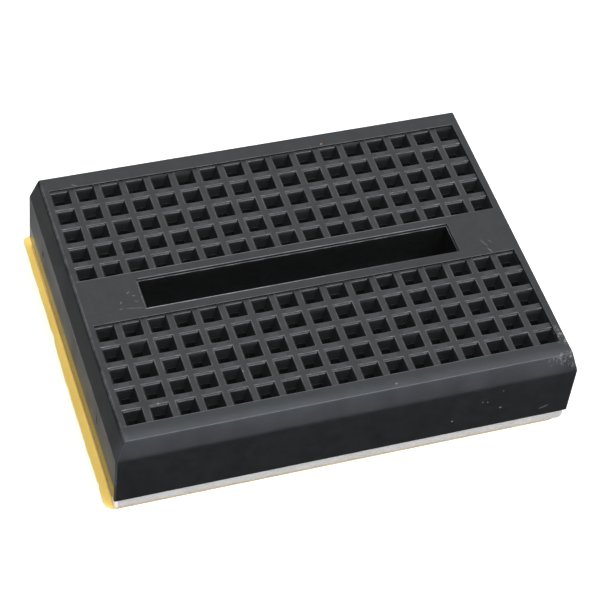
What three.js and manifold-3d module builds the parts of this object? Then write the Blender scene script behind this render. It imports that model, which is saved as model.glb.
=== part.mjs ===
// Solderless breadboard with 170 contact points: a moulded housing, one spring clip under each
// short row of five holes, an adhesive foam pad, and the release liner that covers the adhesive.
//
// Millimetres, +Z up. X runs along the 17 columns and Y across the centre trough, with the back
// bank at +Y. The origin is under the centre of the housing, on the underside of the liner.

import * as THREE from "three";
import { ConvexGeometry } from "three/addons/geometries/ConvexGeometry.js";
import { mergeVertices } from "three/addons/utils/BufferGeometryUtils.js";
import Module from "manifold-3d";

const wasm = await Module();
wasm.setup();

// The contact grid
const PITCH = 2.54;
const COLUMNS = 17;
const HOLES_PER_CLIP = 5;
const INNER_ROW_SPACING = 7.62;

// Housing
const HOUSING_LENGTH = 45.6;
const HOUSING_WIDTH = 34.1;
const HOUSING_HEIGHT = 8.5;
const HOUSING_CORNER_RADIUS = 0.25;
const TOP_LENGTH = 44.0;
const TOP_WIDTH = 33.3;
const TOP_CORNER_RADIUS = 0.15;
const BEVEL_DROP = 2.45;

// Lead-in holes in a recessed field: a chamfered mouth, a square funnel, then a straight throat
// down to the clip slot. Depths are measured from the field.
const FIELD_RECESS = 0.2;
const HOLE_MOUTH = 1.92;
const HOLE_NECK = 1.66;
const NECK_DEPTH = 0.15;
const HOLE_THROAT = 0.85;
const FUNNEL_END_DEPTH = 1.05;
const SLOT_CEILING_DEPTH = 2.0;

// Centre trough, with a shallow rebate round its mouth
const TROUGH_LENGTH = 31.55;
const TROUGH_WIDTH = 3.43;
const TROUGH_DEPTH = 6.0;
const REBATE_WIDTH = 0.125;
const REBATE_DEPTH = 0.2;

// Clip slots, open at the housing's underside
const SLOT_WIDTH = 1.9;
const SLOT_END_CLEARANCE = 0.1;

// Contact clips: one folded strip each, with a pair of spring fingers under every hole
const CLIP_WIDTH = 1.5;
const CLIP_HEIGHT = 5.9;
const STRIP_THICKNESS = 0.2;
const FINGER_WIDTH = 2.04;
const FINGER_ROOT_HEIGHT = 1.1;
const PINCH_HEIGHT = 4.4;
const PINCH_GAP = 0.1;
const MOUTH_GAP = 1.0;

// Foam pad and release liner
const FOAM_LENGTH = 45.5;
const FOAM_WIDTH = 34.0;
const FOAM_THICKNESS = 1.1;
const FOAM_CORNER_RADIUS = 0.6;
const LINER_THICKNESS = 0.12;
const LINER_CORNER_RADIUS = 0.9;
const LINER_LEFT = -23.7;
const LINER_RIGHT = 22.8;
const LINER_FRONT = -17.0;
const LINER_BACK = 18.1;

// How far a cutting tool runs past the face that it opens
const CUT_OVERRUN = 0.5;

// Heights and places that follow from the sizes above
const HOUSING_BASE_Z = LINER_THICKNESS + FOAM_THICKNESS;
const FIELD_HEIGHT = HOUSING_HEIGHT - FIELD_RECESS;
const SLOT_HEIGHT = FIELD_HEIGHT - SLOT_CEILING_DEPTH;
const CLIP_LENGTH = (HOLES_PER_CLIP - 1) * PITCH + FINGER_WIDTH;
const SLOT_LENGTH = CLIP_LENGTH + 2 * SLOT_END_CLEARANCE;
const CLIP_CENTRE_Y = INNER_ROW_SPACING / 2 + ((HOLES_PER_CLIP - 1) / 2) * PITCH;
const BANKS = [
  { name: "back", centreY: CLIP_CENTRE_Y },
  { name: "front", centreY: -CLIP_CENTRE_Y },
];

const columnX = (column) => (column - (COLUMNS - 1) / 2) * PITCH;
const holeOffsetY = (hole) => (hole - (HOLES_PER_CLIP - 1) / 2) * PITCH;

// ---------------------------------------------------------------- solids

function toSolid(geometry) {
  const bare = geometry.index ? geometry.toNonIndexed() : geometry.clone();
  bare.deleteAttribute("normal");
  bare.deleteAttribute("uv");
  const merged = mergeVertices(bare, 1e-5);
  const mesh = new wasm.Mesh({
    numProp: 3,
    vertProperties: new Float32Array(merged.attributes.position.array),
    triVerts: new Uint32Array(merged.index.array),
  });
  return new wasm.Manifold(mesh);
}

function toGeometry(solid) {
  const mesh = solid.getMesh();
  const geometry = new THREE.BufferGeometry();
  geometry.setAttribute("position", new THREE.BufferAttribute(mesh.vertProperties, 3));
  geometry.setIndex(new THREE.BufferAttribute(mesh.triVerts, 1));
  geometry.computeVertexNormals();
  return geometry;
}

// A box by its size, its centre in X and Y, and its lowest Z
function block(length, width, height, x, y, lowZ) {
  return new THREE.BoxGeometry(length, width, height).translate(x, y, lowZ + height / 2);
}

// A square frustum on the Z axis, from the face at lowZ up to the face at highZ
function squareFrustum(lowSide, highSide, lowZ, highZ) {
  const cone = new THREE.CylinderGeometry(
    highSide / Math.SQRT2,
    lowSide / Math.SQRT2,
    highZ - lowZ,
    4,
  );
  cone.rotateY(Math.PI / 4);
  cone.rotateX(Math.PI / 2);
  return cone.translate(0, 0, (lowZ + highZ) / 2);
}

function roundedRectangle(left, right, front, back, radius) {
  const shape = new THREE.Shape();
  shape.moveTo(left + radius, front);
  shape.lineTo(right - radius, front);
  shape.absarc(right - radius, front + radius, radius, -Math.PI / 2, 0);
  shape.lineTo(right, back - radius);
  shape.absarc(right - radius, back - radius, radius, 0, Math.PI / 2);
  shape.lineTo(left + radius, back);
  shape.absarc(left + radius, back - radius, radius, Math.PI / 2, Math.PI);
  shape.lineTo(left, front + radius);
  shape.absarc(left + radius, front + radius, radius, Math.PI, 1.5 * Math.PI);
  return shape;
}

// ---------------------------------------------------------------- housing

// Outer form: upright sides up to the bevel, which runs all round the top face
function housingBody() {
  const rings = [
    { length: HOUSING_LENGTH, width: HOUSING_WIDTH, radius: HOUSING_CORNER_RADIUS, z: 0 },
    {
      length: HOUSING_LENGTH,
      width: HOUSING_WIDTH,
      radius: HOUSING_CORNER_RADIUS,
      z: HOUSING_HEIGHT - BEVEL_DROP,
    },
    { length: TOP_LENGTH, width: TOP_WIDTH, radius: TOP_CORNER_RADIUS, z: HOUSING_HEIGHT },
  ];
  const points = [];
  for (const { length, width, radius, z } of rings) {
    const outline = roundedRectangle(-length / 2, length / 2, -width / 2, width / 2, radius);
    for (const point of outline.extractPoints(2).shape) {
      points.push(new THREE.Vector3(point.x, point.y, z));
    }
  }
  return new ConvexGeometry(points);
}

// The shallow recess that one bank of holes is sunk in, its edge level with the outer mouths
function fieldRecess(centreY) {
  const length = (COLUMNS - 1) * PITCH + HOLE_MOUTH;
  const width = (HOLES_PER_CLIP - 1) * PITCH + HOLE_MOUTH;
  return block(length, width, FIELD_RECESS + CUT_OVERRUN, 0, centreY, FIELD_HEIGHT);
}

// The tools that cut one lead-in hole, from the top down
function leadInHole(x, y) {
  const neckZ = FIELD_HEIGHT - NECK_DEPTH;
  const funnelEndZ = FIELD_HEIGHT - FUNNEL_END_DEPTH;
  const throatLowZ = SLOT_HEIGHT - CUT_OVERRUN;
  const mouthHeight = FIELD_RECESS + CUT_OVERRUN;
  const cuts = [
    block(HOLE_MOUTH, HOLE_MOUTH, mouthHeight, 0, 0, FIELD_HEIGHT),
    squareFrustum(HOLE_NECK, HOLE_MOUTH, neckZ, FIELD_HEIGHT),
    squareFrustum(HOLE_THROAT, HOLE_NECK, funnelEndZ, neckZ),
    block(HOLE_THROAT, HOLE_THROAT, funnelEndZ - throatLowZ, 0, 0, throatLowZ),
  ];
  return cuts.map((cut) => cut.translate(x, y, 0));
}

function clipSlot(x, centreY) {
  return block(SLOT_WIDTH, SLOT_LENGTH, SLOT_HEIGHT + CUT_OVERRUN, x, centreY, -CUT_OVERRUN);
}

function troughCuts() {
  const rebateLength = TROUGH_LENGTH + 2 * REBATE_WIDTH;
  const rebateWidth = TROUGH_WIDTH + 2 * REBATE_WIDTH;
  const floorZ = HOUSING_HEIGHT - TROUGH_DEPTH;
  const rebateZ = HOUSING_HEIGHT - REBATE_DEPTH;
  return [
    block(TROUGH_LENGTH, TROUGH_WIDTH, TROUGH_DEPTH + CUT_OVERRUN, 0, 0, floorZ),
    block(rebateLength, rebateWidth, REBATE_DEPTH + CUT_OVERRUN, 0, 0, rebateZ),
  ];
}

function housingGeometry() {
  const cuts = troughCuts();
  for (const { centreY } of BANKS) {
    cuts.push(fieldRecess(centreY));
    for (let column = 0; column < COLUMNS; column += 1) {
      cuts.push(clipSlot(columnX(column), centreY));
      for (let hole = 0; hole < HOLES_PER_CLIP; hole += 1) {
        cuts.push(...leadInHole(columnX(column), centreY + holeOffsetY(hole)));
      }
    }
  }
  let solid = toSolid(housingBody());
  for (const cut of cuts) {
    solid = solid.subtract(toSolid(cut));
  }
  return toGeometry(solid);
}

// ---------------------------------------------------------------- contact clips

// Section of the folded strip, open at the top: upright at the root, leaning in to the pinch
// and flared out again at the mouth. Each half is listed from the base upwards.
function clipSection() {
  const half = CLIP_WIDTH / 2;
  const outer = [
    [half, 0],
    [half, FINGER_ROOT_HEIGHT],
    [PINCH_GAP / 2 + STRIP_THICKNESS, PINCH_HEIGHT],
    [MOUTH_GAP / 2 + STRIP_THICKNESS, CLIP_HEIGHT],
  ];
  const inner = [
    [half - STRIP_THICKNESS, STRIP_THICKNESS],
    [half - STRIP_THICKNESS, FINGER_ROOT_HEIGHT],
    [PINCH_GAP / 2, PINCH_HEIGHT],
    [MOUTH_GAP / 2, CLIP_HEIGHT],
  ];
  const rightSide = [...outer, ...inner.reverse()];
  const leftSide = rightSide.map(([x, z]) => [-x, z]).reverse();
  const outline = [...rightSide, ...leftSide];
  return new THREE.Shape(outline.map(([x, z]) => new THREE.Vector2(x, z)));
}

function clipGeometry() {
  const strip = new THREE.ExtrudeGeometry(clipSection(), {
    depth: CLIP_LENGTH,
    bevelEnabled: false,
  });
  strip.rotateX(Math.PI / 2);
  strip.translate(0, CLIP_LENGTH / 2, 0);
  let solid = toSolid(strip);
  const slitWidth = PITCH - FINGER_WIDTH;
  const slitHeight = CLIP_HEIGHT - FINGER_ROOT_HEIGHT + CUT_OVERRUN;
  const slitLength = CLIP_WIDTH + 2 * CUT_OVERRUN;
  for (let slit = 0; slit < HOLES_PER_CLIP - 1; slit += 1) {
    const y = holeOffsetY(slit) + PITCH / 2;
    const cut = block(slitLength, slitWidth, slitHeight, 0, y, FINGER_ROOT_HEIGHT);
    solid = solid.subtract(toSolid(cut));
  }
  return toGeometry(solid);
}

// ---------------------------------------------------------------- foam pad and liner

function foamGeometry() {
  const outline = roundedRectangle(
    -FOAM_LENGTH / 2,
    FOAM_LENGTH / 2,
    -FOAM_WIDTH / 2,
    FOAM_WIDTH / 2,
    FOAM_CORNER_RADIUS,
  );
  return new THREE.ExtrudeGeometry(outline, {
    depth: FOAM_THICKNESS,
    bevelEnabled: false,
    curveSegments: 3,
  });
}

function linerGeometry() {
  const outline = roundedRectangle(
    LINER_LEFT,
    LINER_RIGHT,
    LINER_FRONT,
    LINER_BACK,
    LINER_CORNER_RADIUS,
  );
  return new THREE.ExtrudeGeometry(outline, {
    depth: LINER_THICKNESS,
    bevelEnabled: false,
    curveSegments: 4,
  });
}

// ---------------------------------------------------------------- materials

const housingPlastic = new THREE.MeshStandardMaterial({
  color: 0x3f4244,
  roughness: 0.42,
  metalness: 0,
});
const clipMetal = new THREE.MeshStandardMaterial({
  color: 0xb9b4a6,
  roughness: 0.3,
  metalness: 1,
});
const foam = new THREE.MeshStandardMaterial({
  color: 0xcfcfc8,
  roughness: 0.95,
  metalness: 0,
});
const linerPaper = new THREE.MeshStandardMaterial({
  color: 0xd9bd63,
  roughness: 0.6,
  metalness: 0,
});

// ---------------------------------------------------------------- assembly

const board = new THREE.Group();

function place(name, geometry, material, x, y, z) {
  const mesh = new THREE.Mesh(geometry, material);
  mesh.name = name;
  mesh.position.set(x, y, z);
  board.add(mesh);
}

place("housing", housingGeometry(), housingPlastic, 0, 0, HOUSING_BASE_Z);

const sharedClip = clipGeometry();
for (const { name, centreY } of BANKS) {
  for (let column = 0; column < COLUMNS; column += 1) {
    const number = String(column + 1).padStart(2, "0");
    const clipName = `contact_clip_${name}_${number}`;
    place(clipName, sharedClip, clipMetal, columnX(column), centreY, HOUSING_BASE_Z);
  }
}

place("foam_pad", foamGeometry(), foam, 0, 0, LINER_THICKNESS);
place("release_liner", linerGeometry(), linerPaper, 0, 0, 0);

export default board;
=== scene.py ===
import math
import random

import bmesh
import bpy
from mathutils import Euler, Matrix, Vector, noise


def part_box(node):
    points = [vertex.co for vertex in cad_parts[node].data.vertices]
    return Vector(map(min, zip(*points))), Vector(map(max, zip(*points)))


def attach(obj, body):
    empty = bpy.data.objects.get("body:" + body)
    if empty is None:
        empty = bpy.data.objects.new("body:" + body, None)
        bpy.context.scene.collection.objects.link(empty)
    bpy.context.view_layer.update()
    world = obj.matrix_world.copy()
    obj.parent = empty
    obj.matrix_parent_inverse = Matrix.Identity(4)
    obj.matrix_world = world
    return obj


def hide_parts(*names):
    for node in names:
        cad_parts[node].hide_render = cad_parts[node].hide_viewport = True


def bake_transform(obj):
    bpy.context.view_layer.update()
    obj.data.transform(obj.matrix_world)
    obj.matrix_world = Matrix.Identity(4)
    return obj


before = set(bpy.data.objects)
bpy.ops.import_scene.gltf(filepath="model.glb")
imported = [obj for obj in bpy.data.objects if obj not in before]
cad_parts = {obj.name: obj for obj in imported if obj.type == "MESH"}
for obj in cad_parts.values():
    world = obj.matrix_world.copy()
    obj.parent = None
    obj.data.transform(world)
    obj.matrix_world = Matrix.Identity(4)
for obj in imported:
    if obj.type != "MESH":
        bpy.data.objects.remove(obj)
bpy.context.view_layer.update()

# Sizes are in millimetres, turned into metres as each mesh is made.
MM = 0.001

housing_low, housing_high = (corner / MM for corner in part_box("housing"))
foam_low, foam_high = (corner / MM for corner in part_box("foam_pad"))
liner_low, liner_high = (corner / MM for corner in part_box("release_liner"))

COLUMNS = 17
HOLES_PER_CLIP = 5
BANKS = ("back", "front")


def clip_node(bank, column):
    return f"contact_clip_{bank}_{column + 1:02d}"


def clip_base(bank, column):
    """Middle of the underside of one CAD clip."""
    low, high = (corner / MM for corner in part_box(clip_node(bank, column)))
    return Vector(((low.x + high.x) / 2, (low.y + high.y) / 2, low.z))


COLUMN_X = [clip_base("back", column).x for column in range(COLUMNS)]
PITCH = (COLUMN_X[-1] - COLUMN_X[0]) / (COLUMNS - 1)
BANK_Y = {bank: clip_base(bank, 0).y for bank in BANKS}
HOLE_OFFSETS = [(hole - (HOLES_PER_CLIP - 1) / 2) * PITCH for hole in range(HOLES_PER_CLIP)]

# Housing, as in the CAD
TOP_LENGTH = 44.0
TOP_WIDTH = 33.3
BEVEL_DROP = 2.45
FIELD_RECESS = 0.2
HOLE_MOUTH = 1.92
HOLE_NECK = 1.66
NECK_DEPTH = 0.15
HOLE_THROAT = 0.85
FUNNEL_END_DEPTH = 1.05
SLOT_CEILING_DEPTH = 2.0
TROUGH_LENGTH = 31.55
TROUGH_WIDTH = 3.43
TROUGH_DEPTH = 6.0
REBATE_WIDTH = 0.125
REBATE_DEPTH = 0.2
SLOT_WIDTH = 1.9
SLOT_LENGTH = 12.4

RIM_Z = housing_high.z
FIELD_Z = RIM_Z - FIELD_RECESS
FUNNEL_END_Z = FIELD_Z - FUNNEL_END_DEPTH
CEILING_Z = FIELD_Z - SLOT_CEILING_DEPTH
BELT_Z = RIM_Z - BEVEL_DROP
REBATE_Z = RIM_Z - REBATE_DEPTH
TROUGH_FLOOR_Z = RIM_Z - TROUGH_DEPTH
BASE_Z = housing_low.z

# Edge roundings
ROUND_LIMIT = 0.4
ROUND_CORNER = 0.18
ROUND_BOTTOM = 0.13
ROUND_BELT = 0.14
ROUND_TOP_OUTLINE = 0.08
ROUND_TOP_LEFT = 0.25
ROUND_RECESS = 0.05
ROUND_HOLE = 0.06
ROUND_THROAT = 0.03
ROUND_TROUGH = 0.06
ROUND_SEGMENTS = 3
HOLE_JITTER = 0.018
HOLE_JITTER_SEED = 17

# Edges that turn by more than these angles, in degrees, are rounded, or shaded as sharp
ROUNDED_ANGLE = 15
SHARP_ANGLE = 40

# Two heights this near are the same, and an edge this near the outline is on it
SAME_HEIGHT = 1e-3
EDGE_MARGIN = 0.01

# Points and grid lines are rounded to this many decimals of a millimetre
GRID_DIGITS = 4
GRID_MARGIN = 1e-4


# ---------------------------------------------------------------- mesh building


class Weld:
    """Faces given by their corner points in millimetres. Points in the same place are one vertex."""

    def __init__(self):
        self.points = []
        self.index = {}
        self.faces = []

    def vertex(self, point):
        key = tuple(round(value, GRID_DIGITS) for value in point)
        if key not in self.index:
            self.index[key] = len(self.points)
            self.points.append(Vector(key))
        return self.index[key]

    def face(self, *points):
        self.faces.append([self.vertex(point) for point in points])

    def strip(self, loop_a, loop_b):
        """A closed band of quads between two loops of as many points."""
        count = len(loop_a)
        for k in range(count):
            after = (k + 1) % count
            self.face(loop_a[k], loop_a[after], loop_b[after], loop_b[k])

    def plate(self, xs, ys, z, is_open):
        """The cells of a grid at height z, apart from those where is_open(x, y) says so."""
        for x0, x1 in zip(xs, xs[1:]):
            for y0, y1 in zip(ys, ys[1:]):
                if not is_open((x0 + x1) / 2, (y0 + y1) / 2):
                    self.face((x0, y0, z), (x1, y0, z), (x1, y1, z), (x0, y1, z))

    def to_bmesh(self):
        bm = bmesh.new()
        vertices = [bm.verts.new(point * MM) for point in self.points]
        for face in self.faces:
            bm.faces.new([vertices[i] for i in face])
        bmesh.ops.recalc_face_normals(bm, faces=bm.faces)
        return bm


def outline(xs, ys, z):
    """The rim of a grid, once round, as points at height z."""
    points = [(x, ys[0], z) for x in xs[:-1]]
    points += [(xs[-1], y, z) for y in ys[:-1]]
    points += [(x, ys[-1], z) for x in reversed(xs[1:])]
    points += [(xs[0], y, z) for y in reversed(ys[1:])]
    return points


def between(values, low, high):
    return [value for value in values if low - GRID_MARGIN <= value <= high + GRID_MARGIN]


def lines(values):
    """Grid lines in order, each once."""
    return sorted({round(value, GRID_DIGITS) for value in values})


def eased(share):
    """A share from 0 to 1 that starts and ends slowly."""
    return 0.5 - 0.5 * math.cos(math.pi * share)


def mesh_object(name, bm):
    mesh = bpy.data.meshes.new(name)
    bm.to_mesh(mesh)
    bm.free()
    made = bpy.data.objects.new(name, mesh)
    bpy.context.scene.collection.objects.link(made)
    return made


def settle_modifiers(made):
    """Replaces the object's mesh by what its modifiers make of it."""
    graph = bpy.context.evaluated_depsgraph_get()
    settled = bpy.data.meshes.new_from_object(made.evaluated_get(graph))
    made.modifiers.clear()
    made.data = settled


def shade_smooth(made):
    made.data.polygons.foreach_set("use_smooth", [True] * len(made.data.polygons))


# ---------------------------------------------------------------- housing

HALF_MOUTH = HOLE_MOUTH / 2
HALF_THROAT = HOLE_THROAT / 2
FIELD_X = COLUMN_X[-1] + HALF_MOUTH
FIELD_HALF_Y = HOLE_OFFSETS[-1] + HALF_MOUTH
LAND_Y = BANK_Y["back"] - FIELD_HALF_Y


def hole_centres():
    for bank in BANKS:
        for column_x in COLUMN_X:
            for offset in HOLE_OFFSETS:
                yield column_x, BANK_Y[bank] + offset


HOLE_YS = {y for _, y in hole_centres()}


def square(x, y, half, z):
    """Corners of a square hole at height z."""
    return [(x + a * half, y + b * half, z) for a, b in ((-1, -1), (1, -1), (1, 1), (-1, 1))]


def add_top(weld, xs, ys):
    """The top face, and the two recessed fields with a hole's mouth open in each cell."""

    def inside_rim(x, y):
        return abs(x) < FIELD_X and abs(y) < BANK_Y["back"] + FIELD_HALF_Y

    def in_hole(x, y):
        near_column = any(abs(x - column_x) < HALF_MOUTH for column_x in COLUMN_X)
        return near_column and any(abs(y - hole_y) < HALF_MOUTH for hole_y in HOLE_YS)

    weld.plate(xs, ys, RIM_Z, inside_rim)
    field_xs = between(xs, -FIELD_X, FIELD_X)
    for bank in BANKS:
        field_ys = between(ys, BANK_Y[bank] - FIELD_HALF_Y, BANK_Y[bank] + FIELD_HALF_Y)
        weld.strip(outline(field_xs, field_ys, RIM_Z), outline(field_xs, field_ys, FIELD_Z))
        weld.plate(field_xs, field_ys, FIELD_Z, in_hole)


def add_holes(weld):
    """Each hole: a chamfered edge, a funnel, then a straight throat."""
    for x, y in hole_centres():
        mouth = square(x, y, HALF_MOUTH, FIELD_Z)
        neck = square(x, y, HOLE_NECK / 2, FIELD_Z - NECK_DEPTH)
        throat = square(x, y, HALF_THROAT, FUNNEL_END_Z)
        weld.strip(mouth, neck)
        weld.strip(neck, throat)
        weld.strip(throat, square(x, y, HALF_THROAT, CEILING_Z))


def add_slots(weld):
    """Clip slots from the throats' lower ends to the underside. Returns each slot's grid lines."""
    slot_lines = []
    for bank in BANKS:
        for column_x in COLUMN_X:
            bank_ys = [y for x, y in hole_centres() if x == column_x and y * BANK_Y[bank] > 0]
            slot_xs = [column_x + v for v in (-SLOT_WIDTH / 2, -HALF_THROAT, HALF_THROAT, SLOT_WIDTH / 2)]
            ends = [BANK_Y[bank] - SLOT_LENGTH / 2, BANK_Y[bank] + SLOT_LENGTH / 2]
            slot_ys = lines(ends + [y + side * HALF_THROAT for y in bank_ys for side in (-1, 1)])

            def in_throat(x, y):
                return abs(x - column_x) < HALF_THROAT and any(abs(y - v) < HALF_THROAT for v in bank_ys)

            weld.plate(slot_xs, slot_ys, CEILING_Z, in_throat)
            weld.strip(outline(slot_xs, slot_ys, CEILING_Z), outline(slot_xs, slot_ys, BASE_Z))
            slot_lines.append((slot_xs, slot_ys))
    return slot_lines


def add_trough(weld, xs):
    """The land between the fields, the rebate round the trough's mouth, and the trough."""
    rebate_x = TROUGH_LENGTH / 2 + REBATE_WIDTH
    rebate_y = TROUGH_WIDTH / 2 + REBATE_WIDTH
    for side in (-1, 1):
        edge = [(x, side * LAND_Y, RIM_Z) for x in between(xs, -FIELD_X, FIELD_X)]
        weld.face(*edge, (rebate_x, side * rebate_y, RIM_Z), (-rebate_x, side * rebate_y, RIM_Z))
        weld.face(
            (side * FIELD_X, -LAND_Y, RIM_Z),
            (side * FIELD_X, LAND_Y, RIM_Z),
            (side * rebate_x, rebate_y, RIM_Z),
            (side * rebate_x, -rebate_y, RIM_Z),
        )
    trough_xs = [-TROUGH_LENGTH / 2, TROUGH_LENGTH / 2]
    trough_ys = [-TROUGH_WIDTH / 2, TROUGH_WIDTH / 2]
    rebate_xs, rebate_ys = [-rebate_x, rebate_x], [-rebate_y, rebate_y]
    rebate_low = outline(rebate_xs, rebate_ys, REBATE_Z)
    trough_high = outline(trough_xs, trough_ys, REBATE_Z)
    weld.strip(outline(rebate_xs, rebate_ys, RIM_Z), rebate_low)
    weld.strip(rebate_low, trough_high)
    weld.strip(trough_high, outline(trough_xs, trough_ys, TROUGH_FLOOR_Z))
    weld.plate(trough_xs, trough_ys, TROUGH_FLOOR_Z, lambda x, y: False)


def add_sides(weld, xs, ys, slot_lines):
    """The bevel round the top, the upright sides below it, and the underside between the slots."""
    half_x, half_y = housing_high.x, housing_high.y
    belt_xs = [-half_x, *xs[1:-1], half_x]
    belt_ys = [-half_y, *ys[1:-1], half_y]
    weld.strip(outline(xs, ys, RIM_Z), outline(belt_xs, belt_ys, BELT_Z))
    base_xs = lines([-half_x, half_x, *(x for slot_xs, _ in slot_lines for x in slot_xs)])
    base_ys = lines([-half_y, half_y, *(y for _, slot_ys in slot_lines for y in slot_ys)])
    for side in (-1, 1):
        upper = [(x, side * half_y, BELT_Z) for x in belt_xs]
        lower = [(x, side * half_y, BASE_Z) for x in base_xs]
        weld.face(*upper, *reversed(lower))
        upper = [(side * half_x, y, BELT_Z) for y in belt_ys]
        lower = [(side * half_x, y, BASE_Z) for y in base_ys]
        weld.face(*upper, *reversed(lower))

    def in_slot(x, y):
        return any(
            slot_xs[0] < x < slot_xs[-1] and slot_ys[0] < y < slot_ys[-1]
            for slot_xs, slot_ys in slot_lines
        )

    weld.plate(base_xs, base_ys, BASE_Z, in_slot)


def loosen_mouths(weld):
    """Puts each mouth a little out of true, as worn moulded edges are."""
    jitter = random.Random(HOLE_JITTER_SEED)
    for x, y in hole_centres():
        for point in square(x, y, HALF_MOUTH, FIELD_Z):
            corner = weld.points[weld.vertex(point)]
            corner.x += jitter.uniform(-HOLE_JITTER, HOLE_JITTER)
            corner.y += jitter.uniform(-HOLE_JITTER, HOLE_JITTER)


def build_housing():
    mouth_xs = (x + side * HALF_MOUTH for x in COLUMN_X for side in (-1, 1))
    mouth_ys = (y + side * HALF_MOUTH for y in HOLE_YS for side in (-1, 1))
    xs = lines([-TOP_LENGTH / 2, *mouth_xs, TOP_LENGTH / 2])
    ys = lines([-TOP_WIDTH / 2, *mouth_ys, TOP_WIDTH / 2])
    weld = Weld()
    add_top(weld, xs, ys)
    add_holes(weld)
    slot_lines = add_slots(weld)
    add_trough(weld, xs)
    add_sides(weld, xs, ys, slot_lines)
    loosen_mouths(weld)
    return weld.to_bmesh()


def edge_rounding(edge):
    """How far an edge of the housing is rounded, in millimetres."""
    a, b = (vertex.co / MM for vertex in edge.verts)
    z = (a.z + b.z) / 2
    outer_x = min(abs(a.x), abs(b.x)) > TOP_LENGTH / 2 - EDGE_MARGIN
    outer_y = min(abs(a.y), abs(b.y)) > TOP_WIDTH / 2 - EDGE_MARGIN

    def at_height(height):
        return abs(z - height) < SAME_HEIGHT

    if abs(a.z - b.z) >= SAME_HEIGHT:
        return ROUND_CORNER if outer_x and outer_y else 0
    if at_height(BASE_Z):
        return ROUND_BOTTOM if outer_x or outer_y else 0
    if at_height(BELT_Z):
        return ROUND_BELT
    if at_height(RIM_Z) and outer_x and a.x < 0:
        return ROUND_TOP_LEFT
    if at_height(RIM_Z):
        return ROUND_TOP_OUTLINE if outer_x or outer_y else ROUND_RECESS
    if max(abs(a.y), abs(b.y)) < TROUGH_WIDTH / 2 + EDGE_MARGIN:
        return ROUND_TROUGH
    if at_height(FIELD_Z) or at_height(FIELD_Z - NECK_DEPTH):
        return ROUND_HOLE
    return ROUND_THROAT if at_height(FUNNEL_END_Z) else 0


def make_housing(body_plastic, edge_plastic):
    bm = build_housing()
    weights = bm.edges.layers.float.new("bevel_weight_edge")
    for edge in bm.edges:
        if len(edge.link_faces) == 2 and edge.calc_face_angle_signed() > math.radians(ROUNDED_ANGLE):
            edge[weights] = edge_rounding(edge) / ROUND_LIMIT
    made = mesh_object("housing_shell", bm)
    made.data.materials.append(body_plastic)
    made.data.materials.append(edge_plastic)
    rounding = made.modifiers.new("edge rounding", "BEVEL")
    rounding.limit_method = "WEIGHT"
    rounding.width = ROUND_LIMIT * MM
    rounding.segments = ROUND_SEGMENTS
    rounding.use_clamp_overlap = False
    rounding.material = 1
    settle_modifiers(made)
    shade_smooth(made)
    made.data.set_sharp_from_angle(angle=math.radians(SHARP_ANGLE))
    normals = made.modifiers.new("flat faces", "WEIGHTED_NORMAL")
    normals.keep_sharp = True
    settle_modifiers(made)
    return made



# ---------------------------------------------------------------- contact clips

CLIP_WIDTH = 1.5
CLIP_HEIGHT = 5.9
STRIP_THICKNESS = 0.2
FINGER_WIDTH = 2.04
FINGER_ROOT_HEIGHT = 1.1
PINCH_HEIGHT = 4.4
PINCH_GAP = 0.1
MOUTH_GAP = 1.0
BEND_RADIUS = 0.25
BEND_STEPS = 4
FINGER_STEPS = 8
FLARE_STEPS = 5


def finger_line():
    """Middle line of the strip from the base's centre to one finger's tip, as (x, z) points."""
    half = CLIP_WIDTH / 2 - STRIP_THICKNESS / 2
    base_z = STRIP_THICKNESS / 2
    points = [(0.0, base_z)]
    for step in range(BEND_STEPS + 1):
        angle = math.pi / 2 * step / BEND_STEPS
        x = half - BEND_RADIUS + BEND_RADIUS * math.sin(angle)
        points.append((x, base_z + BEND_RADIUS * (1 - math.cos(angle))))
    points.append((half, FINGER_ROOT_HEIGHT))
    pinch_x = (PINCH_GAP + STRIP_THICKNESS) / 2
    for step in range(1, FINGER_STEPS + 1):
        share = step / FINGER_STEPS
        z = FINGER_ROOT_HEIGHT + (PINCH_HEIGHT - FINGER_ROOT_HEIGHT) * share
        points.append((half + (pinch_x - half) * eased(share), z))
    mouth_x = (MOUTH_GAP + STRIP_THICKNESS) / 2
    for step in range(1, FLARE_STEPS + 1):
        share = step / FLARE_STEPS
        x = pinch_x + (mouth_x - pinch_x) * (1 - math.cos(math.pi / 2 * share))
        points.append((x, PINCH_HEIGHT + (CLIP_HEIGHT - PINCH_HEIGHT) * share))
    return points


def make_clip_mesh():
    """One folded strip with a pair of fingers under each hole of a short row."""
    right = finger_line()
    section = [(-x, z) for x, z in reversed(right[1:])] + right
    ys = [offset + side * FINGER_WIDTH / 2 for offset in HOLE_OFFSETS for side in (-1, 1)]
    weld = Weld()
    for (x0, z0), (x1, z1) in zip(section, section[1:]):
        root = max(z0, z1) <= FINGER_ROOT_HEIGHT + GRID_MARGIN
        for k, (y0, y1) in enumerate(zip(ys, ys[1:])):
            if root or k % 2 == 0:
                weld.face((x0, y0, z0), (x1, y0, z1), (x1, y1, z1), (x0, y1, z0))
    made = mesh_object("clip_strip", weld.to_bmesh())
    thick = made.modifiers.new("strip thickness", "SOLIDIFY")
    thick.thickness = STRIP_THICKNESS * MM
    thick.offset = 0
    shade_smooth(made)
    settle_modifiers(made)
    mesh = made.data
    bpy.data.objects.remove(made)
    return mesh


def make_clips(material):
    mesh = make_clip_mesh()
    mesh.materials.append(material)
    for bank in BANKS:
        for column in range(COLUMNS):
            clip = bpy.data.objects.new(f"spring_clip_{bank}_{column + 1:02d}", mesh)
            bpy.context.scene.collection.objects.link(clip)
            clip.location = clip_base(bank, column) * MM
            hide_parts(clip_node(bank, column))
            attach(clip, "board")


# ---------------------------------------------------------------- foam pad

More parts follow.
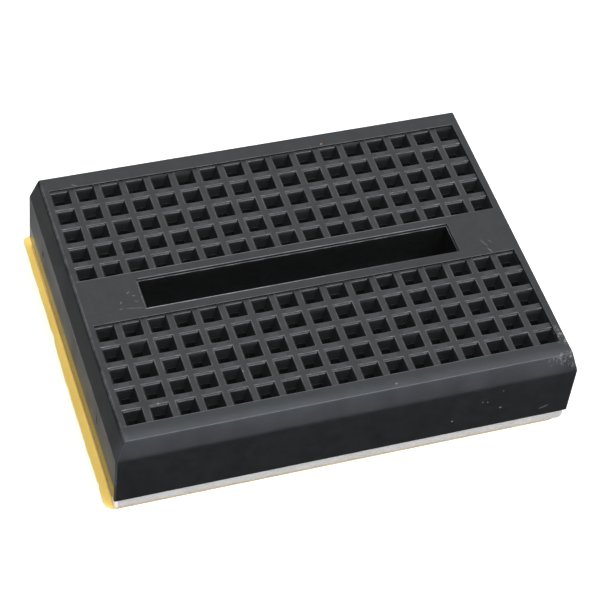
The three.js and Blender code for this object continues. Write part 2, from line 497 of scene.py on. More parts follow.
# Corner radii, from the front right, counterclockwise
FOAM_CORNERS = (0.65, 0.6, 0.6, 0.25)
FOAM_EDGE_STEP = 0.35
# The cut side from the bottom up, as (share of the thickness, inset)
FOAM_PROFILE = ((0, 0.06), (0.06, 0), (0.3, 0.01), (0.55, 0.02), (0.8, 0.01), (0.95, 0), (1, 0.05))
FOAM_ROUGHNESS = 0.035
FOAM_WAVES_ALONG = 1.7
FOAM_WAVES_UP = 2.5
FOAM_UNDERCUT = 0.04
UNDERCUT_FROM_Y = -13.6


def rounded_outline(low, high, radii, step):
    """Points once round a rectangle, about step apart. The corners' radii start at the front right."""
    sides = ((high.x, -1, low.y, 1), (high.x, -1, high.y, -1), (low.x, 1, high.y, -1), (low.x, 1, low.y, 1))
    corners = [
        (x + inward_x * radius, y + inward_y * radius, start, radius)
        for (x, inward_x, y, inward_y), start, radius in zip(sides, (-90, 0, 90, 180), radii)
    ]
    points = []
    for k, (x, y, start, radius) in enumerate(corners):
        arc_steps = max(3, round(radius * math.pi / 2 / step))
        for s in range(arc_steps + 1):
            angle = math.radians(start + 90 * s / arc_steps)
            points.append(Vector((x + radius * math.cos(angle), y + radius * math.sin(angle))))
        next_x, next_y, next_start, next_radius = corners[(k + 1) % 4]
        angle = math.radians(next_start)
        begin = points[-1]
        end = Vector((next_x + next_radius * math.cos(angle), next_y + next_radius * math.sin(angle)))
        count = max(1, round((end - begin).length / step))
        points += [begin.lerp(end, s / count) for s in range(1, count)]
    return points


def make_foam():
    low = Vector((foam_low.x + FOAM_ROUGHNESS / 4, foam_low.y + FOAM_ROUGHNESS))
    high = Vector((foam_high.x - FOAM_ROUGHNESS, foam_high.y - FOAM_ROUGHNESS))
    ring = rounded_outline(low, high, FOAM_CORNERS, FOAM_EDGE_STEP)
    thickness = foam_high.z - foam_low.z
    weld = Weld()
    levels = []
    for share, inset in FOAM_PROFILE:
        z = foam_low.z + thickness * share
        loop = []
        for point in ring:
            cut_here = point.x < low.x + FOAM_CORNERS[2] and point.y > UNDERCUT_FROM_Y
            skew = FOAM_UNDERCUT * (1 - share) if cut_here else 0
            wave = (point.x * FOAM_WAVES_ALONG, point.y * FOAM_WAVES_ALONG, z * FOAM_WAVES_UP)
            rough = noise.noise(Vector(wave)) * FOAM_ROUGHNESS
            if point.x < low.x + FOAM_ROUGHNESS:
                rough = min(0, rough)
            away = point.normalized() * (rough - inset)
            loop.append((point.x + skew + away.x, point.y + away.y, z))
        levels.append(loop)
    for lower, upper in zip(levels, levels[1:]):
        weld.strip(lower, upper)
    weld.face(*levels[0])
    weld.face(*levels[-1])
    made = mesh_object("foam_tape", weld.to_bmesh())
    shade_smooth(made)
    return made


# ---------------------------------------------------------------- release liner

LINER_COLUMNS = 90
LINER_ROWS = 70
LINER_CORNER = 1.0
LINER_RIGHT_CORNER = 1.6
LINER_RIGHT_INSET = 0.25
LINER_FRONT_INSET = 0.02
LINER_SIDE_INSET = 0.1
LINER_TAPER = 0.22
LINER_TAPER_FROM = -4.0
LINER_TAPER_TO = 9.0
LINER_WAVE = 0.06
LINER_WAVES_ALONG = 0.35
LINER_FINE_WAVE = 0.02
LINER_FINE_WAVES_ALONG = 2.5
LINER_LIFT_BACK = 0.75
LINER_LIFT_FRONT = 0.35
LINER_LIFT_VARIATION = 0.15
LINER_LIFT_WAVES_ALONG = 0.3
LINER_CURL_FROM = -22.55
LINER_CURL_POWER = 1.5
# Nicks in the left edge, as (y, depth, half width)
LINER_NICKS = (
    (4.6, 0.14, 0.35),
    (-2.4, 0.12, 0.3),
    (-9.3, 0.1, 0.3),
    (-11.2, 0.12, 0.4),
    (-14.2, 0.16, 0.35),
)


def corner_cut(distance, radius):
    """How far a round corner pulls an edge in, at a distance from the corner."""
    if distance >= radius:
        return 0
    return radius - math.sqrt(max(0, radius**2 - (radius - distance) ** 2))


def make_liner():
    thickness = liner_high.z - liner_low.z
    left, right = liner_low.x, liner_high.x - LINER_RIGHT_INSET
    front, back = liner_low.y + LINER_FRONT_INSET, liner_high.y
    weld = Weld()

    def left_edge(y):
        wave = LINER_WAVE * (1 + noise.noise(Vector((0, y * LINER_WAVES_ALONG, 0))))
        fine = LINER_FINE_WAVE * (1 + noise.noise(Vector((5, y * LINER_FINE_WAVES_ALONG, 0))))
        nick = sum(depth * max(0, 1 - abs(y - at) / wide) for at, depth, wide in LINER_NICKS)
        share = min(1, max(0, (y - LINER_TAPER_FROM) / (LINER_TAPER_TO - LINER_TAPER_FROM)))
        taper = LINER_TAPER * share * share * (3 - 2 * share)
        return left + LINER_SIDE_INSET + wave + fine + nick + taper

    def point(i, j):
        across, along = i / LINER_COLUMNS, j / LINER_ROWS
        y = front + (back - front) * eased(along)
        cut = corner_cut(min(y - front, back - y), LINER_CORNER)
        right_cut = corner_cut(min(y - front, back - y), LINER_RIGHT_CORNER)
        x0, x1 = left_edge(y) + cut, right - right_cut
        x = x0 + (x1 - x0) * eased(across)
        curl = max(0, LINER_CURL_FROM - x) / (LINER_CURL_FROM - left)
        height = LINER_LIFT_FRONT + (LINER_LIFT_BACK - LINER_LIFT_FRONT) * (y - front) / (back - front)
        uneven = 1 + LINER_LIFT_VARIATION * noise.noise(Vector((3, y * LINER_LIFT_WAVES_ALONG, 1)))
        lift = height * curl**LINER_CURL_POWER * uneven
        return (x, y, liner_high.z + lift)

    for i in range(LINER_COLUMNS):
        for j in range(LINER_ROWS):
            weld.face(point(i, j), point(i + 1, j), point(i + 1, j + 1), point(i, j + 1))
    made = mesh_object("liner_sheet", weld.to_bmesh())
    if made.data.polygons[0].normal.z < 0:
        made.data.flip_normals()
    thick = made.modifiers.new("paper thickness", "SOLIDIFY")
    thick.thickness = thickness * MM
    thick.offset = -1
    shade_smooth(made)
    settle_modifiers(made)
    return made


# ---------------------------------------------------------------- materials


class Nodes:
    """A material's node tree with short calls to add and join nodes."""

    def __init__(self, name):
        self.material = bpy.data.materials.new(name)
        self.material.use_nodes = True
        self.tree = self.material.node_tree
        self.shader = next(n for n in self.tree.nodes if n.type == "BSDF_PRINCIPLED")
        self.place = self.add("ShaderNodeTexCoord").outputs["Object"]
        self.x, self.y, self.z = self.axes(self.place)

    def add(self, kind, **settings):
        node = self.tree.nodes.new(kind)
        for name, value in settings.items():
            setattr(node, name, value)
        return node

    def join(self, output, socket):
        self.tree.links.new(output, socket)

    def feed(self, socket, value):
        """Gives a socket another node's output, a colour or a number."""
        if isinstance(value, bpy.types.NodeSocket):
            self.join(value, socket)
        elif isinstance(value, tuple):
            socket.default_value = (*value, 1)
        else:
            socket.default_value = value

    def shade(self, values):
        """Feeds the shader's sockets by name."""
        for name, value in values.items():
            self.feed(self.shader.inputs[name], value)

    def axes(self, vector):
        node = self.add("ShaderNodeSeparateXYZ")
        self.join(vector, node.inputs["Vector"])
        return node.outputs

    def stretched(self, scale=(1, 1, 1), turn=(0, 0, 0)):
        mapping = self.add("ShaderNodeMapping")
        mapping.inputs["Scale"].default_value = scale
        mapping.inputs["Rotation"].default_value = turn
        self.join(self.place, mapping.inputs["Vector"])
        return mapping.outputs["Vector"]

    def noise(self, scale, detail=3.0, roughness=0.5, vector=None):
        """Noise with about scale features to the metre."""
        node = self.add("ShaderNodeTexNoise")
        node.inputs["Scale"].default_value = scale
        node.inputs["Detail"].default_value = detail
        node.inputs["Roughness"].default_value = roughness
        self.join(vector or self.place, node.inputs["Vector"])
        return node.outputs["Fac"]

    def ramp(self, value, *stops):
        """A colour ramp with (position, grey or colour) stops."""
        node = self.add("ShaderNodeValToRGB")
        elements = node.color_ramp.elements
        while len(elements) < len(stops):
            elements.new(0.5)
        for element, (position, colour) in zip(elements, stops):
            element.position = position
            rgb = (colour,) * 3 if isinstance(colour, (int, float)) else colour
            element.color = (*rgb, 1)
        self.join(value, node.inputs["Fac"])
        return node.outputs["Color"]

    def mix(self, factor, a, b, blend="MIX"):
        node = self.add("ShaderNodeMix", data_type="RGBA", blend_type=blend)
        for socket, value in ((node.inputs[0], factor), (node.inputs[6], a), (node.inputs[7], b)):
            self.feed(socket, value)
        return node.outputs[2]

    def math(self, operation, a, b):
        node = self.add("ShaderNodeMath", operation=operation)
        for socket, value in zip(node.inputs, (a, b)):
            self.feed(socket, value)
        return node.outputs[0]

    def product(self, first, *others):
        for other in others:
            first = self.math("MULTIPLY", first, other)
        return first

    def fade(self, value, start, end):
        """0 before start and 1 past end, smooth between. The end may be below the start."""
        node = self.add("ShaderNodeMapRange", interpolation_type="SMOOTHSTEP")
        node.inputs["From Min"].default_value = start
        node.inputs["From Max"].default_value = end
        self.join(value, node.inputs["Value"])
        return node.outputs["Result"]

    def span(self, value, start, end):
        """As fade, with the start and the end in millimetres."""
        return self.fade(value, start * MM, end * MM)

    def band(self, value, start, full_from, full_to, end):
        """1 between full_from and full_to, fading to 0 at start and end, all in millimetres."""
        return self.product(self.span(value, start, full_from), self.span(value, end, full_to))

    def patch(self, centre, half_size, turn_deg=(0, 0, 0)):
        """1 inside an ellipsoid given in millimetres, fading to 0 at its surface."""
        mapping = self.add("ShaderNodeMapping", vector_type="TEXTURE")
        mapping.inputs["Location"].default_value = Vector(centre) * MM
        mapping.inputs["Rotation"].default_value = [math.radians(angle) for angle in turn_deg]
        mapping.inputs["Scale"].default_value = Vector(half_size) * MM
        self.join(self.place, mapping.inputs["Vector"])
        length = self.add("ShaderNodeVectorMath", operation="LENGTH")
        self.join(mapping.outputs["Vector"], length.inputs[0])
        return self.fade(length.outputs["Value"], 1.0, PATCH_CORE)

    def patches(self, marks):
        """All the marks of a list as one mask."""
        total = 0.0
        for mark in marks:
            total = self.math("MAXIMUM", self.patch(*mark), total)
        return total

    def bump(self, height, strength, distance_mm):
        node = self.add("ShaderNodeBump")
        node.inputs["Strength"].default_value = strength
        node.inputs["Distance"].default_value = distance_mm * MM
        self.join(height, node.inputs["Height"])
        self.join(node.outputs["Normal"], self.shader.inputs["Normal"])


# Marks on the housing as (centre, half-size, turn), millimetres and degrees
SCRATCHES_AND_RIM_HIGHLIGHT = (
    ((18.65, -1.41, RIM_Z), (0.64, 0.08, 0.1), (0, 0, -63)),
    ((19.32, -1.32, RIM_Z), (0.40, 0.07, 0.1), (0, 0, -56)),
    ((18.92, -2.43, RIM_Z), (0.54, 0.08, 0.1), (0, 0, -64)),
    ((-17.1, 0.4, RIM_Z), (0.25, 0.1, 0.1), (0, 0, 30)),
    ((-16.66, -0.07, RIM_Z), (0.2, 0.08, 0.1), (0, 0, -20)),
    ((-18.07, -0.69, RIM_Z), (0.22, 0.08, 0.1), (0, 0, 60)),
    ((-16.6, -0.82, RIM_Z), (0.28, 0.08, 0.1), (0, 0, -40)),
    ((-18.27, -1.44, RIM_Z), (0.2, 0.09, 0.1), (0, 0, 10)),
    ((-16.95, -1.6, RIM_Z), (1.1, 0.05, 0.1), (0, 0, -11)),
    ((-18.7, 15.2, RIM_Z), (0.45, 0.07, 0.1), (0, 0, -35)),
    # The last two: a painted highlight along the trough's left rim and at its front left corner
    ((-15.96, 0.0, RIM_Z), (0.06, 2.1, 0.1)),
    ((-15.9, -1.87, RIM_Z), (0.14, 0.12, 0.1)),
)
DUST_AND_GLINTS = (
    ((4.28, -16.14, RIM_Z), (0.14, 0.12, 0.1)),
    # The next four, at the hole edges, are painted glints; the others are dust
    ((-17.81, -13.0, FIELD_Z), (0.14, 0.12, 0.1)),
    ((-10.64, -6.47, FIELD_Z), (0.08, 0.1, 0.1)),
    ((-15.92, -9.73, FIELD_Z), (0.1, 0.12, 0.1)),
    ((-9.14, -11.17, FIELD_Z), (0.08, 0.14, 0.1)),
    ((13.28, -17.05, 5.28), (0.1, 0.1, 0.1)),
    ((13.83, -17.05, 5.11), (0.1, 0.1, 0.1)),
    ((15.34, -17.05, 3.9), (0.2, 0.1, 0.1), (0, -30, 0)),
    ((15.25, -17.05, 6.44), (0.08, 0.1, 0.08)),
    ((10.45, -17.05, 3.18), (0.12, 0.1, 0.12)),
    ((20.08, -17.05, 2.57), (0.6, 0.1, 0.05), (0, -23, 0)),
)
RUST_SPECK = ((7.09, 15.24, RIM_Z), (0.24, 0.12, 0.1), (0, 0, 50))
# Dents in the left side, painted dark as shade
SIDE_DENT_SHADES = (
    ((-22.8, 11.1, 5.0), (0.3, 0.35, 0.45)),
    ((-22.8, -10.25, 5.2), (0.3, 0.14, 0.8), (-12, 0, 0)),
)
CORNER_SCUFFS = (
    ((21.6, -14.3, RIM_Z), (0.8, 1.5, 0.5)),
    ((21.9, -16.8, 9.1), (3.0, 0.9, 1.0)),
    ((22.3, -16.6, 8.6), (0.5, 0.7, 1.1)),
)

# How far out from its centre a mark is at full strength
PATCH_CORE = 0.55

# Painted highlight lines along x, as (y, start x, fading from x, to x, strength)
EDGE_HIGHLIGHT_LINES = (
    (-1.90, -15.8, -9.0, 16.5, 0.8),
    (1.90, -15.6, 15.0, 16.0, 0.55),
    (2.80, -21.4, 15.0, 21.4, 0.35),
    (-14.98, -21.4, 15.0, 21.4, 0.2),
)
HIGHLIGHT_HALF_WIDTH = 0.08
HIGHLIGHT_START_FADE = 0.3

# Plastic, darkest and lightest, on the flat faces and on the rounded edges; the edges are painted lighter,
# partly as wear and partly as painted highlights
BODY_TONES = ((0.0085, 0.009, 0.0095), (0.0145, 0.015, 0.016))
EDGE_TONES = ((0.018, 0.019, 0.020), (0.085, 0.086, 0.088))
BODY_ROUGHNESS = 0.36
EDGE_ROUGHNESS = 0.32
ABS_IOR = 1.52
ABS_SPECULAR_TINT = (0.88, 0.95, 1.0)
STRAY_LIGHT = 0.0016

# What wear, dirt, and painted light and shade turn it to
# Painted highlights on the far and left hole edges, and painted shade on the right ones
FAR_EDGE_HIGHLIGHT = (0.14, 0.141, 0.144)
LEFT_EDGE_HIGHLIGHT = (0.085, 0.081, 0.056)
RIGHT_EDGE_SHADE = (0.004, 0.004, 0.0045)
# Painted sheen on the ribs across the columns
RIB_SHEEN_TONE = (0.024, 0.025, 0.027)
# Handling wear with a painted sheen, on the front
RUBBED_SHEEN_TONE = (0.047, 0.050, 0.059)
# Painted highlight lines
EDGE_HIGHLIGHT_TONE = (0.40, 0.40, 0.41)
# The liner's painted reflection
LINER_REFLECTION_TONE = (0.045, 0.030, 0.006)
# Scratches, and a painted highlight on the trough's left rim
SCRATCH_AND_HIGHLIGHT_TONE = (0.11, 0.113, 0.118)
SCUFF_TONE = (0.26, 0.25, 0.265)
# Painted shade in the dents
DENT_SHADE_TONE = (0.004, 0.004, 0.004)
# Dust, and painted glints at the hole edges
DUST_AND_GLINT_TONE = (0.17, 0.165, 0.15)
RUST_TONE = (0.22, 0.10, 0.04)

# Where the front is rubbed and given a painted sheen, where the liner's painted reflection lies on the left
# side, and where the holes' insides end
RUBBED_SHEEN_FROM_Y = -15.3
RUBBED_SHEEN_FULL_Y = -16.7
REFLECTION_FROM_X = -22.6
REFLECTION_FULL_X = -22.7
REFLECTION_FROM_Y = -16.95
REFLECTION_FULL_Y = -16.75
REFLECTION_TOP_Z = 3.5
REFLECTION_FADE = 0.5
INSIDE_X = 21.6
INSIDE_Y = 16.3
INSIDE_FROM_Z = 5.5
INSIDE_FULL_Z = 6.5

# How much smoother than the rest the painted reflection and the holes' insides are
REFLECTION_SMOOTHING = 0.24
INSIDE_SMOOTHING = 0.12


def hole_edge_light_and_shade(nodes, colour):
    """Hole edges: a pale painted highlight at the far side, a faint olive painted highlight at the left,
    and painted shade at the right.
    """
    normal_x, normal_y, _ = nodes.axes(nodes.add("ShaderNodeNewGeometry").outputs["Normal"])
    bite = nodes.ramp(nodes.noise(1300, detail=4, roughness=0.7), (0.35, 0.35), (0.6, 1.0))
    at_holes = nodes.band(nodes.z, FIELD_Z - 0.3, FIELD_Z - 0.2, FIELD_Z + 0.04, FIELD_Z + 0.08)
    far = nodes.product(nodes.fade(normal_y, -0.25, -0.6), at_holes, bite)
    left = nodes.product(nodes.fade(normal_x, 0.25, 0.6), at_holes, bite)
    right = nodes.product(nodes.fade(normal_x, -0.15, -0.4), at_holes)
    for share, tone in ((far, FAR_EDGE_HIGHLIGHT), (left, LEFT_EDGE_HIGHLIGHT), (right, RIGHT_EDGE_SHADE)):
        colour = nodes.mix(share, colour, tone)
    return colour


def rib_sheen(nodes, colour):
    """A painted sheen: the ribs across each column stand a shade lighter than the ribs along the columns.
    """
    phase = nodes.math("COSINE", nodes.math("MULTIPLY", nodes.x, 2 * math.pi / (PITCH * MM)), 0.0)
    across = nodes.ramp(phase, (0.28, 0), (0.36, 1))
    at_field = nodes.band(nodes.z, FIELD_Z - 0.1, FIELD_Z - 0.04, FIELD_Z + 0.02, FIELD_Z + 0.06)
    return nodes.mix(nodes.product(across, at_field), colour, RIB_SHEEN_TONE)


def rubbed_front_and_sheen(nodes, colour):
    """Rubbed lighter towards the front edge and on the front bevel: partly handling wear, partly a painted
    sheen.
    """
    rubbed = nodes.product(
        nodes.span(nodes.y, RUBBED_SHEEN_FROM_Y, RUBBED_SHEEN_FULL_Y),
        nodes.span(nodes.z, BELT_Z - 0.2, BELT_Z + 0.5),
    )
    streaks = nodes.noise(330, detail=5, vector=nodes.stretched((1.0, 0.4, 0.4)))
    streaks = nodes.ramp(streaks, (0.3, 0.55), (0.7, 1.0))
    return nodes.mix(nodes.product(rubbed, streaks), colour, RUBBED_SHEEN_TONE)


def edge_highlight_lines(nodes, colour):
    """Painted highlight lines along the long edges of the trough and the fields."""
    broken_up = nodes.ramp(nodes.noise(700, detail=5, roughness=0.75), (0.3, 0.3), (0.62, 1.0))
    at_rim = nodes.product(nodes.span(nodes.z, RIM_Z - 0.15, RIM_Z - 0.08), broken_up)
    for line_y, start_x, fade_x, end_x, strength in EDGE_HIGHLIGHT_LINES:
        line = nodes.band(nodes.y, line_y - HIGHLIGHT_HALF_WIDTH, line_y, line_y, line_y + HIGHLIGHT_HALF_WIDTH)
        length = nodes.band(nodes.x, start_x - HIGHLIGHT_START_FADE, start_x, fade_x, end_x)
        colour = nodes.mix(nodes.product(line, length, strength, at_rim), colour, EDGE_HIGHLIGHT_TONE)
    return colour


def scratched_and_rim_highlight(nodes, colour):
    """Fine scratches all over the top and the few deep ones, with a painted highlight along the trough's
    left rim.
    """
    hairs = nodes.noise(900, detail=2, vector=nodes.stretched((1, 14, 1), (0, 0, 0.6)))
    on_top = nodes.span(nodes.z, FIELD_Z - 0.05, FIELD_Z)
    hairlines = nodes.product(nodes.ramp(hairs, (0.66, 0), (0.76, 0.2)), on_top)
    colour = nodes.mix(hairlines, colour, SCRATCH_AND_HIGHLIGHT_TONE)
    grain = nodes.ramp(nodes.noise(2600, detail=3), (0.35, 0.25), (0.6, 1.0))
    return nodes.mix(nodes.product(nodes.patches(SCRATCHES_AND_RIM_HIGHLIGHT), grain), colour, SCRATCH_AND_HIGHLIGHT_TONE)


def inside_holes(nodes):
    """1 inside the holes and the trough, below the rounded edges."""
    return nodes.product(
        nodes.band(nodes.z, INSIDE_FROM_Z, INSIDE_FULL_Z, FIELD_Z - 0.5, FIELD_Z - 0.2),
        nodes.band(nodes.x, -INSIDE_X - 0.1, -INSIDE_X, INSIDE_X, INSIDE_X + 0.1),
        nodes.band(nodes.y, -INSIDE_Y - 0.1, -INSIDE_Y, INSIDE_Y, INSIDE_Y + 0.1),
    )


def plastic(name, tones, roughness, with_hole_edge_light=False):
    """Moulded ABS: near-black, mottled and rubbed by handling, with scratches and dust, and with painted
    highlights, sheen, shade and a painted reflection.
    """
    nodes = Nodes(name)
    dark, light = tones
    mottle = nodes.noise(800, detail=6, roughness=0.7)
    colour = nodes.ramp(mottle, (0.36, dark), (0.66, light))
    if with_hole_edge_light:
        colour = hole_edge_light_and_shade(nodes, colour)
    colour = rib_sheen(nodes, colour)
    colour = rubbed_front_and_sheen(nodes, colour)
    colour = edge_highlight_lines(nodes, colour)

    # Low on the left side the liner's reflection is painted in brown, and the plastic there is glossier
    liner_reflection = nodes.product(
        nodes.span(nodes.x, REFLECTION_FROM_X, REFLECTION_FULL_X),
        nodes.span(nodes.z, REFLECTION_TOP_Z, REFLECTION_TOP_Z - REFLECTION_FADE),
        nodes.span(nodes.y, REFLECTION_FROM_Y, REFLECTION_FULL_Y),
    )
    colour = nodes.mix(liner_reflection, colour, LINER_REFLECTION_TONE)
    colour = scratched_and_rim_highlight(nodes, colour)

    # Whitened scuffs at the knocked front right corner
    knocks = nodes.noise(2400, detail=4, roughness=0.7, vector=nodes.stretched((1.3, 1.3, 0.5)))
    chalk = nodes.product(nodes.ramp(knocks, (0.5, 0), (0.64, 1)), nodes.patches(CORNER_SCUFFS))
    colour = nodes.mix(chalk, colour, SCUFF_TONE)

    # Painted shade where the dents break the side's reflection
    dent_shade = nodes.patches(SIDE_DENT_SHADES)
    colour = nodes.mix(dent_shade, colour, DENT_SHADE_TONE)
    # Dust, and painted glints at the hole edges
    colour = nodes.mix(nodes.patches(DUST_AND_GLINTS), colour, DUST_AND_GLINT_TONE)
    colour = nodes.mix(nodes.patches([RUST_SPECK]), colour, RUST_TONE)

    # Chalk and the dents' painted shade are dull, and the painted reflection and the holes' insides are
    # glossy
    uneven = nodes.ramp(nodes.noise(260, detail=4), (0.25, roughness - 0.06), (0.8, roughness + 0.08))
    dull = nodes.math("MAXIMUM", nodes.product(chalk, 0.8), dent_shade)
    smoothed = nodes.math(
        "MAXIMUM",
        nodes.product(liner_reflection, REFLECTION_SMOOTHING),
        nodes.product(inside_holes(nodes), INSIDE_SMOOTHING),
    )
    nodes.shade({
        "Base Color": colour,
        "Roughness": nodes.math("SUBTRACT", nodes.math("MAXIMUM", uneven, dull), smoothed),
        "IOR": ABS_IOR,
        "Specular Tint": ABS_SPECULAR_TINT,
        "Emission Color": (1, 1, 1),
        "Emission Strength": STRAY_LIGHT,
    })
    nodes.bump(nodes.noise(1500, detail=6, roughness=0.75), strength=0.15, distance_mm=0.03)
    return nodes.material


BRONZE_TONES = ((0.55, 0.51, 0.43), (0.72, 0.69, 0.62))


def metal():
    """Plated strip with fine marks from rolling along its length."""
    nodes = Nodes("plated_bronze")
    dark, light = BRONZE_TONES
    rolled = nodes.noise(900, detail=3, vector=nodes.stretched((1, 0.1, 1)))
    nodes.shade({
        "Base Color": nodes.ramp(rolled, (0.3, dark), (0.8, light)),
        "Roughness": nodes.ramp(rolled, (0.2, 0.22), (0.8, 0.36)),
        "Metallic": 1.0,
    })
    nodes.bump(nodes.noise(4000, vector=nodes.stretched((1, 0.08, 1))), strength=0.1, distance_mm=0.01)
    return nodes.material


FOAM_TONES = ((0.49, 0.487, 0.487), (0.585, 0.58, 0.58))
# The left side painted paler as lit, and a painted shadow under the housing's overhang
FOAM_LIT_SIDE_TONE = (0.88, 0.82, 0.78)
OVERHANG_SHADOW_TONE = (0.03, 0.018, 0.01)
SHADOW_FROM_Z = 0.70
SHADOW_FULL_Z = 0.76
LEFT_SIDE_DEPTH = 0.3
FOAM_CELLS = 5200
FOAM_SCATTER = (0.0006, 0.0006, 0.0005)


def foam_material():
    """Grey closed-cell foam, its left side painted paler where the light falls on it, and a painted shadow
    there under the housing's overhang.
    """
    nodes = Nodes("closed_cell_foam")
    dark, light = FOAM_TONES
    cells = nodes.add("ShaderNodeTexVoronoi")
    cells.inputs["Scale"].default_value = FOAM_CELLS
    nodes.join(nodes.place, cells.inputs["Vector"])
    base = nodes.ramp(nodes.noise(300, detail=4), (0.3, dark), (0.75, light))
    pits = nodes.ramp(cells.outputs["Distance"], (0.0, 0.72), (0.5, 1.0))
    pitted = nodes.mix(0.6, base, pits, blend="MULTIPLY")
    left_side = nodes.span(nodes.x, foam_low.x + LEFT_SIDE_DEPTH + 0.1, foam_low.x + LEFT_SIDE_DEPTH)
    # Painted shadow under the housing's overhang
    overhang_shadow = nodes.product(
        left_side,
        nodes.band(nodes.y, -16.3, -15.9, 8, 11),
        nodes.span(nodes.z, SHADOW_FROM_Z, SHADOW_FULL_Z),
    )
    # The left side painted paler where the light falls
    pale = nodes.mix(left_side, pitted, FOAM_LIT_SIDE_TONE)
    nodes.shade({
        "Base Color": nodes.mix(overhang_shadow, pale, OVERHANG_SHADOW_TONE),
        "Roughness": 0.85,
        "Subsurface Weight": 0.1,
    })
    nodes.shader.inputs["Subsurface Radius"].default_value = FOAM_SCATTER
    nodes.bump(cells.outputs["Distance"], strength=0.5, distance_mm=0.08)
    return nodes.material


LINER_TONES = ((0.86, 0.63, 0.15), (0.95, 0.74, 0.22))
LINER_CUT_TONE = (0.66, 0.50, 0.24)
LINER_GLOW_TONE = (0.90, 0.66, 0.20)
LINER_GLOW = 0.30
LINER_GLOW_FADE = 0.3
LINER_CUT_FROM = 0.25
LINER_CUT_FULL = 0.12


def liner_material():
    """Yellow coated paper, browner at the front cut. Its free strip has a painted glow standing in for the
    table's light.
    """
    nodes = Nodes("release_paper")
    dark, light = LINER_TONES
    fibre = nodes.noise(700, detail=5, roughness=0.6, vector=nodes.stretched((1, 0.25, 1)))
    base = nodes.ramp(fibre, (0.3, dark), (0.75, light))
    front_cut = nodes.span(nodes.y, liner_low.y + LINER_CUT_FROM, liner_low.y + LINER_CUT_FULL)
    free_part = nodes.span(nodes.x, LINER_CURL_FROM + LINER_GLOW_FADE, LINER_CURL_FROM)
    nodes.shade({
        "Base Color": nodes.mix(front_cut, base, LINER_CUT_TONE),
        "Roughness": nodes.ramp(nodes.noise(500), (0.3, 0.4), (0.8, 0.52)),
        "Emission Color": LINER_GLOW_TONE,
        "Emission Strength": nodes.product(free_part, LINER_GLOW),
    })
    nodes.bump(nodes.noise(2500, detail=4), strength=0.2, distance_mm=0.03)
    return nodes.material


# ---------------------------------------------------------------- the object

housing = make_housing(
    plastic("abs_body", BODY_TONES, BODY_ROUGHNESS),
    plastic("abs_edges", EDGE_TONES, EDGE_ROUGHNESS, with_hole_edge_light=True),
)
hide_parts("housing")
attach(housing, "board")

make_clips(metal())

foam = make_foam()
foam.data.materials.append(foam_material())
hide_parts("foam_pad")
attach(foam, "board")

liner = make_liner()
liner.data.materials.append(liner_material())
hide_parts("release_liner")
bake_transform(liner)


# ---------------------------------------------------------------- floor, light, camera

# Sizes and places from here on are in metres
FLOOR_HALF_SIDE = 1.5
FLOOR_TONE = (0.95, 0.95, 0.95)
FLOOR_GLOW = 0.35

# The studio round the object: (direction, half-width in degrees, soft edge in degrees, strength)
STUDIO_GLOWS = (
    ((0.26, 0.60, 0.75), 20, 30, 1.03),
    ((0.26, -0.25, 0.93), 12, 15, 4.5),
    ((0.26, -0.757, 0.60), 20, 25, 0.9),
    ((0.26, -0.96, -0.10), 10, 20, 1.24),
    ((0.27, -0.82, -0.50), 8, 14, 0.22),
    ((-0.26, 0.60, -0.75), 14, 22, 0.47),
    ((-0.80, 0.10, 0.60), 25, 30, 0.15),
)
OVERHEAD_PLACE = (0.0, 0.05, 0.7)
OVERHEAD_SIZE = 0.35
OVERHEAD_POWER = 1.5
LIGHT_AIM = (0, 0, 0.005)

CAMERA_PLACE = (-0.05687, -0.132136, 0.169453)
CAMERA_TURN_DEG = (40.856, -5.009, -17.692)
CAMERA_LENS = 133.2
SENSOR_WIDTH = 36
NEAREST_SEEN = 0.01


def make_floor():
    """A white table that lights itself a little and shows in no reflection or shadow."""
    mesh = bpy.data.meshes.new("floor")
    side = FLOOR_HALF_SIDE
    corners = [(-side, -side, 0), (side, -side, 0), (side, side, 0), (-side, side, 0)]
    mesh.from_pydata(corners, [], [(0, 1, 2, 3)])
    floor = bpy.data.objects.new("floor", mesh)
    bpy.context.scene.collection.objects.link(floor)
    nodes = Nodes("pale_floor")
    nodes.shade({
        "Base Color": FLOOR_TONE,
        "Roughness": 0.9,
        "Specular IOR Level": 0.2,
        "Emission Color": (1, 1, 1),
        "Emission Strength": FLOOR_GLOW,
    })
    mesh.materials.append(nodes.material)
    floor.visible_glossy = False
    floor.visible_shadow = False


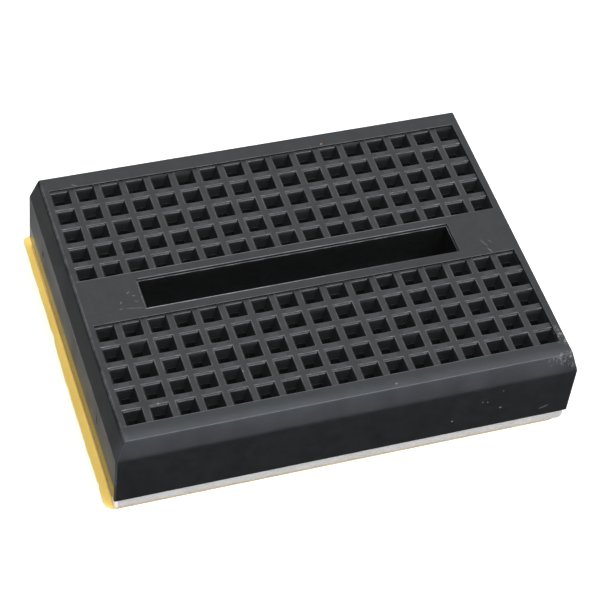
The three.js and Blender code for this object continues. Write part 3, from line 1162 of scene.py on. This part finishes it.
def make_studio():
    """A world that is dark but for the glows, each a soft round patch in its own direction."""
    world = bpy.data.worlds.new("studio")
    bpy.context.scene.world = world
    world.use_nodes = True
    tree = world.node_tree
    background = tree.nodes["Background"]
    background.inputs["Color"].default_value = (1, 1, 1, 1)
    direction = tree.nodes.new("ShaderNodeTexCoord").outputs["Generated"]
    total = None
    for towards, half_width, edge, strength in STUDIO_GLOWS:
        nearness = tree.nodes.new("ShaderNodeVectorMath")
        nearness.operation = "DOT_PRODUCT"
        tree.links.new(direction, nearness.inputs[0])
        nearness.inputs[1].default_value = Vector(towards).normalized()
        glow = tree.nodes.new("ShaderNodeMapRange")
        glow.interpolation_type = "SMOOTHSTEP"
        glow.inputs["From Min"].default_value = math.cos(math.radians(half_width + edge))
        glow.inputs["From Max"].default_value = math.cos(math.radians(half_width))
        glow.inputs["To Max"].default_value = strength
        tree.links.new(nearness.outputs["Value"], glow.inputs["Value"])
        if total is None:
            total = glow.outputs["Result"]
            continue
        add = tree.nodes.new("ShaderNodeMath")
        tree.links.new(total, add.inputs[0])
        tree.links.new(glow.outputs["Result"], add.inputs[1])
        total = add.outputs[0]
    tree.links.new(total, background.inputs["Strength"])


def make_overhead():
    """A square soft box above the object."""
    data = bpy.data.lights.new("overhead", "AREA")
    data.shape = "SQUARE"
    data.size = OVERHEAD_SIZE
    data.energy = OVERHEAD_POWER
    lamp = bpy.data.objects.new("overhead", data)
    bpy.context.scene.collection.objects.link(lamp)
    lamp.location = OVERHEAD_PLACE
    direction = Vector(LIGHT_AIM) - Vector(OVERHEAD_PLACE)
    lamp.rotation_euler = direction.to_track_quat("-Z", "Y").to_euler()


def make_camera():
    data = bpy.data.cameras.new("camera")
    data.lens = CAMERA_LENS
    data.sensor_width = SENSOR_WIDTH
    data.clip_start = NEAREST_SEEN
    camera = bpy.data.objects.new("camera", data)
    bpy.context.scene.collection.objects.link(camera)
    camera.location = CAMERA_PLACE
    camera.rotation_euler = Euler([math.radians(angle) for angle in CAMERA_TURN_DEG], "XYZ")
    bpy.context.scene.camera = camera


make_floor()
make_studio()
make_overhead()
make_camera()
bpy.context.scene.view_settings.view_transform = "Standard"
